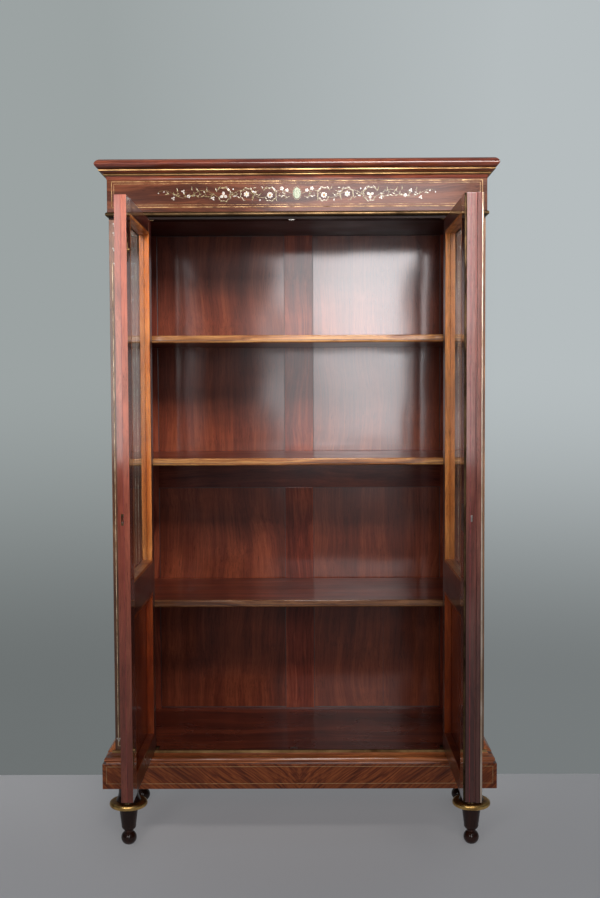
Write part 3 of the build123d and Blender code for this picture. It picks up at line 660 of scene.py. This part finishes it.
def loose_leaves(petals, leaves, side, middle):
    """Single leaves between the scrolls, pale ones and gilt ones."""
    for inlay, sprigs, width, bend in ((petals, PALE_LEAVES, 3.2 * mm, 0.25),
                                       (leaves, GILT_LEAVES, 3.4 * mm, 0.5)):
        for along, up, length, heading in sprigs:
            outline = leaf(along * mm, middle + up * mm, length * mm, width, heading, bend)
            inlay.plate(mirrored(side, outline))


def dress_frieze():
    """Flowers on scrolling stems, the same to left and right of an oval, inside a double line."""
    low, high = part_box("frieze_front")
    face = on_front(low.y)
    half = high.x - FRIEZE_LINE_UP
    bottom, top = low.z + FRIEZE_LINE_UP, high.z - FRIEZE_LINE_DOWN
    middle = (bottom + top) / 2 + 2 * mm
    lines = Inlay("frieze_lines", face)
    for inset, width in ((0, WIDE_LINE), (6.5 * mm, FINE_LINE)):
        lines.frame_line((-half + inset, half - inset), (bottom + inset, top - inset), width)
    lines.build("carcass", stringing)

    stems = Inlay("frieze_scrolls", face)
    leaves = Inlay("frieze_leaves", face)
    petals = Inlay("frieze_petals", face)
    hearts = Inlay("frieze_flower_hearts", face)
    oval = Inlay("frieze_oval", face)
    for side in (-1, 1):
        great_scrolls(stems, leaves, side, middle)
        curls(stems, leaves, side, middle)
        stem = wave(STEM_FROM, STEM_TO, middle - 2 * mm, 11 * mm, 3.4, 90)
        stems.ribbon(mirrored(side, stem), taper(len(stem), 1.4 * mm, 0.7 * mm))
        flower_heads(petals, hearts, side, middle)
        loose_leaves(petals, leaves, side, middle)
    oval.plate(ellipse(0, middle, OVAL_HALF_WIDTH, 1.45, 24))
    ring = ellipse(0, middle, OVAL_RING_HALF_WIDTH, 1.518, 32)
    stems.ribbon(ring + ring[:1], 1.1 * mm)
    flower(petals, 0, middle, 7 * mm, 5, turn=math.pi / 2)
    stems.build("carcass", pearl_gold)
    leaves.build("carcass", pearl_gold)
    petals.build("carcass", pearl_white)
    hearts.build("carcass", brass)
    oval.build("carcass", pearl_green)


# ------------------------------------------------------------------ pilasters, plinth, sides and inside
SPRAY_END = 1.62                        # height where the hanging spray ends
# height of each pair of branches on the hanging spray, and their reach in millimetres
HANGING_BRANCHES = ((1.856, 25), (1.829, 25), (1.785, 27), (1.741, 25), (1.704, 21), (1.668, 16), (1.636, 20))
FOOT_BRANCHES = ((32, 32), (60, 20))    # millimetres up from the pilaster's foot, and reach
# inset, distance up from the pilaster's foot, height of the top, width of the line
PILASTER_LINES = ((9 * mm, 12 * mm, 1.744, 1.9 * mm), (17 * mm, 120 * mm, 1.703, 1.2 * mm))
PLINTH_LINE = 1.6 * mm


def spray(petals, stems, centre, start, end, branches):
    """A waving stem with leaves, and pairs of side branches that end in small flowers."""
    stem = [(centre + 5 * mm * math.sin(k * 0.55), start + (end - start) * k / 48) for k in range(49)]
    stems.ribbon(stem, taper(len(stem), 1.8 * mm, 0.7 * mm))
    away = math.copysign(math.pi / 2, end - start)
    for k in range(2, 46, 3):
        lean = 1 if k % 2 else -1
        stems.plate(leaf(*stem[k], 15 * mm, 4.2 * mm, away - lean * 0.8, 0.35 * lean))
    for b, reach in branches:
        for lean in (-1, 1):
            tip = centre + lean * reach * mm
            branch = [(centre + (tip - centre) * k / 10, b + 12 * mm * (1 - k / 10) ** 2) for k in range(11)]
            stems.ribbon(branch, taper(len(branch), 1.3 * mm, 0.7 * mm))
            stems.plate(leaf(*branch[5], 12 * mm, 3.6 * mm, math.pi / 2 - lean * 0.9, 0.3 * lean))
            stems.plate(leaf(*branch[7], 10 * mm, 3.2 * mm, -math.pi / 2 + lean * 0.8, -0.3 * lean))
            flower(petals, tip, b, 6.5 * mm, 3, turn=-math.pi / 2)


def dress_pilasters():
    """Brass lines up the shaft; a hanging spray of flowers at its top and a short one at its foot."""
    for side_name in ("left", "right"):
        low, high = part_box(f"pilaster_{side_name}")
        centre = (low.x + high.x) / 2
        half_width = (high.x - low.x) / 2
        face = on_front(low.y)
        lines = Inlay(f"pilaster_{side_name}_lines", face)
        for inset, above_foot, top, width in PILASTER_LINES:
            lines.frame_line((centre - half_width + inset, centre + half_width - inset),
                             (low.z + above_foot, top), width)
        lines.build("carcass", pale_stringing)

        petals = Inlay(f"pilaster_{side_name}_petals", face)
        stems = Inlay(f"pilaster_{side_name}_stems", face)
        foot_branches = [(low.z + up * mm, reach) for up, reach in FOOT_BRANCHES]
        spray(petals, stems, centre, high.z - 8 * mm, SPRAY_END, HANGING_BRANCHES)
        spray(petals, stems, centre, low.z + 20 * mm, low.z + 110 * mm, foot_branches)
        petals.build("carcass", pearl_white)
        stems.build("carcass", pearl_gold)


def dress_plinth():
    """Stringing rectangle on the front and on each side."""
    low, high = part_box("plinth_front")
    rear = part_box("plinth_sides_and_back")[1].y
    inset, bottom, top = 12 * mm, low.z + 16 * mm, high.z - 8 * mm
    for name, face, start, end in (("plinth_front_lines", on_front(low.y), low.x, high.x),
                                   ("plinth_lines_left", on_side(-1, high.x), low.y, rear),
                                   ("plinth_lines_right", on_side(1, high.x), low.y, rear)):
        lines = Inlay(name, face)
        lines.frame_line((start + inset, end - inset), (bottom, top), PLINTH_LINE)
        lines.build("carcass", line_wood)


def dress_case_sides():
    """Field outlined in double stringing on each side board, and a line on the frieze returns."""
    edge, from_bottom, from_top = 60 * mm, 90 * mm, 50 * mm
    frieze_low, frieze_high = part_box("frieze_returns")
    for side, side_name in ((-1, "left"), (1, "right")):
        low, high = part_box(f"side_{side_name}")
        lines = Inlay(f"side_{side_name}_lines", on_side(side, max(abs(low.x), abs(high.x))))
        for inset, width in ((0, WIDE_LINE), (7 * mm, FINE_LINE)):
            lines.frame_line((low.y + edge + inset, high.y - edge - inset),
                             (low.z + from_bottom + inset, high.z - from_top - inset), width)
        lines.build("carcass", stringing)
        lines = Inlay(f"frieze_side_lines_{side_name}", on_side(side, frieze_high.x))
        lines.frame_line((frieze_low.y - 10 * mm, frieze_high.y - 14 * mm),
                         (frieze_low.z + FRIEZE_LINE_UP, frieze_high.z - FRIEZE_LINE_DOWN), WIDE_LINE)
        lines.build("carcass", stringing)


MUNTIN_EDGE, STILE_EDGE = 47 * mm, 470 * mm      # of the back's frame, out from its middle
MIDDLE_RAIL = (1.045, 1.139)                     # its lower and upper edge
CORNER_SHADE = 1.8 * mm                         # width of the painted shade line in the panels' corners, along their frame
SPLIT_X, SPLIT_LENGTH, SPLIT_WAVER = 0.28, 0.385, 0.4 * mm
GROOVE_UP, GROOVE_WIDTH = 8 * mm, 1.5 * mm       # the painted shade line on a shelf's lipping: its height and width


def dress_back():
    """Painted shade along the frame in the corners of the back's panels, and a fine split in one of them."""
    face_y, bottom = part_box("back_panels")[0].yz
    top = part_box("ceiling_board")[0].z
    # painted shade: a dark line where the frame's edge meets each panel
    corners = Inlay("panel_corner_shade", on_front(face_y), proud=0.15 * mm)
    inset = CORNER_SHADE / 2
    for side in (-1, 1):
        across = sorted((side * (MUNTIN_EDGE + inset), side * (STILE_EDGE - inset)))
        for panel_low, panel_high in ((bottom, MIDDLE_RAIL[0]), (MIDDLE_RAIL[1], top)):
            corners.frame_line(across, (panel_low + inset, panel_high - inset), CORNER_SHADE)
    corners.build("carcass", shade_and_split)

    split = Inlay("panel_split", on_front(face_y), proud=0.1 * mm)
    line = [(SPLIT_X + SPLIT_WAVER * math.sin(1.7 * k), bottom + 6 * mm + SPLIT_LENGTH * k / 30)
            for k in range(31)]
    split.ribbon(line, taper(len(line), 1.3 * mm, 0.5 * mm))
    split.build("carcass", shade_and_split)


def dress_shelves():
    """A dark line of painted shade along each shelf's lipping, where its moulded front falls into shade."""
    for level in ("lower", "middle", "upper"):
        low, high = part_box(f"shelf_{level}_lipping")
        # painted shade: a thin dark line standing in for a shaded hollow in the lipping
        groove_shade = Inlay(f"shelf_{level}_groove", on_front(low.y), proud=0.1 * mm)
        ends = (low.x + 1 * mm, high.x - 1 * mm)
        groove_shade.ribbon([(x, low.z + GROOVE_UP) for x in ends], GROOVE_WIDTH)
        groove_shade.build(f"shelf_{level}", shade_and_split)


def add_strike_lip():
    """Thin turned-down edge of the strike plate under the head rail."""
    low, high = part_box("bolt_strikes")
    width, thickness, drop = high.x - low.x - 5 * mm, 1.0 * mm, 2.8 * mm
    place = Matrix.Translation(((low.x + high.x) / 2, low.y - 0.4 * mm, high.z - 3.3 * mm))
    lip = bmesh.new()
    bmesh.ops.create_cube(lip, size=1.0, matrix=place @ Matrix.Diagonal((width, thickness, drop, 1.0)))
    add_piece("strike_lip", lip, "carcass", steel)


# ------------------------------------------------------------------ doors


class Door:
    """A door's places in the closed position, and the swing that opens it."""

    def __init__(self, side, side_name):
        self.side, self.name, self.body = side, side_name, f"{side_name}_door"
        joint = next(j for j in frame["joints"] if j["child"] == self.body)
        pivot = Matrix.Translation(Vector(joint["pos_m"]))
        self.swing = pivot @ Matrix.Rotation(side * math.pi / 2, 4, "Z") @ pivot.inverted()
        self.closing = self.swing.inverted()

    def closed(self, node):
        """Lowest and highest corner of a door's node as it is with the door closed."""
        corners = [self.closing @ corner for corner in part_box(node)]
        return (Vector(map(min, *corners)), Vector(map(max, *corners)))

    def reach(self, node):
        """Nearest and farthest distance of a node from the middle of the bookcase, with the door closed."""
        return sorted(abs(corner.x) for corner in self.closed(node))

    def front(self, face_y):
        """Places on the outer face, given in the closed position."""
        return lambda a, b, h: self.swing @ Vector((self.side * a, face_y - h, b))

    def edge(self, face_x):
        """Places on the meeting edge, given in the closed position; a runs from front to back."""
        return lambda a, b, h: self.swing @ Vector((self.side * (face_x - h), a, b))


REVEAL = 7 * mm                  # how much of the glass and of the panel lies behind the wood all round
EDGE_LINE = {"left": 1.1 * mm, "right": 2.0 * mm}


def dress_door_face(door):
    """Stringing round the door, and half-round mouldings that frame glass and panel."""
    low, high = door.closed(f"{door.name}_hinge_stile")
    hinge_inner, outer = door.reach(f"{door.name}_hinge_stile")
    meeting_inner = door.reach(f"{door.name}_meeting_stile")[1]
    inset = 12 * mm
    lines = Inlay(f"{door.name}_door_lines", door.front(low.y))
    lines.frame_line((meeting_inner - 45 * mm, outer - inset), (low.z + inset, high.z - inset), 1.6 * mm)
    lines.build(door.body, brass)

    mouldings = Inlay(f"{door.name}_door_mouldings", door.front(low.y), proud=4 * mm)
    for node in ("glass", "panel"):
        behind_low, behind_high = door.closed(f"{door.name}_{node}")
        mouldings.half_round((meeting_inner + 1 * mm, hinge_inner - 1 * mm),
                             (behind_low.z + REVEAL + 1 * mm, behind_high.z - REVEAL - 1 * mm), 7 * mm)
    mouldings.build(door.body, brass)


def dress_door_edge(door):
    """The red line down the middle of the meeting edge, and a band of lighter wood beside it."""
    low, high = door.closed(f"{door.name}_meeting_stile")
    bottom, top = (corner.z for corner in door.closed(f"{door.name}_hinge_stile"))
    edge = door.edge(door.reach(f"{door.name}_meeting_stile")[0])
    middle = (low.y + high.y) / 2
    line = Inlay(f"{door.name}_edge_line", edge, proud=0.12 * mm)
    line.ribbon([(middle, bottom), (middle, top)], EDGE_LINE[door.name])
    line.build(door.body, line_red)
    if door.name == "left":
        band_from, band_to = middle, high.y - 0.6 * mm
    else:
        band_from, band_to = low.y + 0.6 * mm, low.y + 4.2 * mm
    centre = (band_from + band_to) / 2
    band = Inlay(f"{door.name}_edge_band", edge, proud=0.06 * mm)
    band.ribbon([(centre, bottom), (centre, top)], band_to - band_from)
    band.build(door.body, edge_bands[door.name])


dress_frieze()
dress_pilasters()
dress_plinth()
dress_case_sides()
dress_back()
dress_shelves()
add_strike_lip()
for door in (Door(-1, "left"), Door(1, "right")):
    dress_door_face(door)
    dress_door_edge(door)

# ------------------------------------------------------------------ stage, light and camera
CAMERA_PLACE = (0.0288, -3.4426, 1.3728)
CAMERA_TURN, CAMERA_DOWN, CAMERA_ROLL = 0.0067, 0.0513, -0.0045     # radians
LENS, SENSOR = 46.8, 36
FLOOR_REACH, FLOOR_REAR = 9, 0.657         # the floor's half width, and where it ends behind the bookcase
FLOOR_PAINT, FLOOR_GLOW, FLOOR_GLOW_STRENGTH = srgb(196, 196, 198), srgb(196, 198, 202), 0.2
# the wall's colours hold painted light to the right and painted shade low down
WALL_LEFT, WALL_RIGHT, WALL_LOW = srgb(156, 163, 163), srgb(182, 189, 191), srgb(92, 96, 96)
ROOM_LOW, ROOM_LEVEL, ROOM_HIGH = srgb(32, 32, 35), srgb(50, 51, 54), srgb(98, 102, 106)
ROOM_BEHIND = srgb(116, 120, 121)
# name, place, aim, width, height, watts, colour, spread in degrees
LIGHTS = (
    ("window_upper", (0.46, -5.5, 2.375), (0.46, 0.0, 2.375), 1.42, 1.25, 40, (1.0, 0.96, 0.98), 180),
    ("window_lower", (0.46, -5.5, 1.305), (0.46, 0.0, 1.305), 1.42, 0.89, 18, (1.0, 0.95, 0.97), 180),
    ("key", (0.5, -2.8, 3.15), (0.0, 0.0, 2.0), 1.5, 1.0, 17, (1.0, 0.95, 0.91), 52),
    ("fill", (-1.5, -3.6, 1.7), (-1.5, 0.0, 1.7), 1.2, 1.4, 15, (1.0, 0.96, 0.94), 130),
)


def make_camera():
    """Camera at standing height in front, turned, tilted down and rolled a little."""
    data = bpy.data.cameras.new("camera")
    data.lens = LENS
    data.sensor_width = SENSOR
    camera = bpy.data.objects.new("camera", data)
    turn = (Matrix.Rotation(CAMERA_TURN, 4, "Z") @ Matrix.Rotation(math.pi / 2 - CAMERA_DOWN, 4, "X")
            @ Matrix.Rotation(CAMERA_ROLL, 4, "Z"))
    camera.matrix_world = Matrix.Translation(CAMERA_PLACE) @ turn
    bpy.context.scene.collection.objects.link(camera)
    bpy.context.scene.camera = camera


def make_light(name, place, aim, width, height, watts, colour, spread):
    """Rectangular soft light that faces its aim."""
    data = bpy.data.lights.new(name, "AREA")
    data.spread = math.radians(spread)
    data.shape = "RECTANGLE"
    data.size, data.size_y = width, height
    data.energy = watts
    data.color = colour
    light = bpy.data.objects.new(name, data)
    direction = Vector(aim) - Vector(place)
    light.matrix_world = Matrix.Translation(place) @ direction.to_track_quat("-Z", "Y").to_matrix().to_4x4()
    bpy.context.scene.collection.objects.link(light)


def make_floor():
    """Plain pale floor that ends a little behind the bookcase."""
    mesh = bpy.data.meshes.new("floor")
    shape = bmesh.new()
    corners = ((-FLOOR_REACH, -FLOOR_REACH, 0), (FLOOR_REACH, -FLOOR_REACH, 0),
               (FLOOR_REACH, FLOOR_REAR, 0), (-FLOOR_REACH, FLOOR_REAR, 0))
    shape.faces.new([shape.verts.new(corner) for corner in corners])
    shape.to_mesh(mesh)
    shape.free()
    floor = bpy.data.objects.new("floor", mesh)
    bpy.context.scene.collection.objects.link(floor)
    material, _, shader = new_material("floor_paint")
    shader.inputs["Base Color"].default_value = FLOOR_PAINT
    shader.inputs["Roughness"].default_value = 0.9
    shader.inputs["Emission Color"].default_value = FLOOR_GLOW
    shader.inputs["Emission Strength"].default_value = FLOOR_GLOW_STRENGTH
    mesh.materials.append(material)


def make_world():
    """A plain wall for the camera, with painted light on the right and painted shade low down; a dim room that
    the polish reflects.
    """
    world = bpy.data.worlds.new("studio")
    bpy.context.scene.world = world
    world.use_nodes = True
    tree = world.node_tree
    tree.nodes.clear()
    sight = add_node(tree, "LightPath").outputs["Is Camera Ray"]
    across, away, up = axes(tree, add_node(tree, "TexCoord").outputs["Generated"])
    rise = remap(tree, up, -1.0, 1.0, 0.0, 1.0)
    room = ramp(tree, rise, (0.30, ROOM_LOW), (0.52, ROOM_LEVEL), (0.85, ROOM_HIGH))
    room = mixed(tree, remap(tree, away, 0.1, 0.7, 0.0, 1.0, smooth=True), room, ROOM_BEHIND)
    wall = mixed(tree, remap(tree, across, -0.16, 0.16, 0.0, 1.0), WALL_LEFT, WALL_RIGHT)
    wall = mixed(tree, remap(tree, up, 0.02, -0.24, 0.0, 0.8, smooth=True), wall, WALL_LOW)
    shade = add_node(tree, "Background", {"Color": mixed(tree, sight, room, wall), "Strength": 1.0})
    tree.links.new(shade.outputs[0], add_node(tree, "OutputWorld").inputs["Surface"])


make_camera()
make_floor()
make_world()
for light in LIGHTS:
    make_light(*light)
bpy.context.scene.view_settings.view_transform = "Standard"
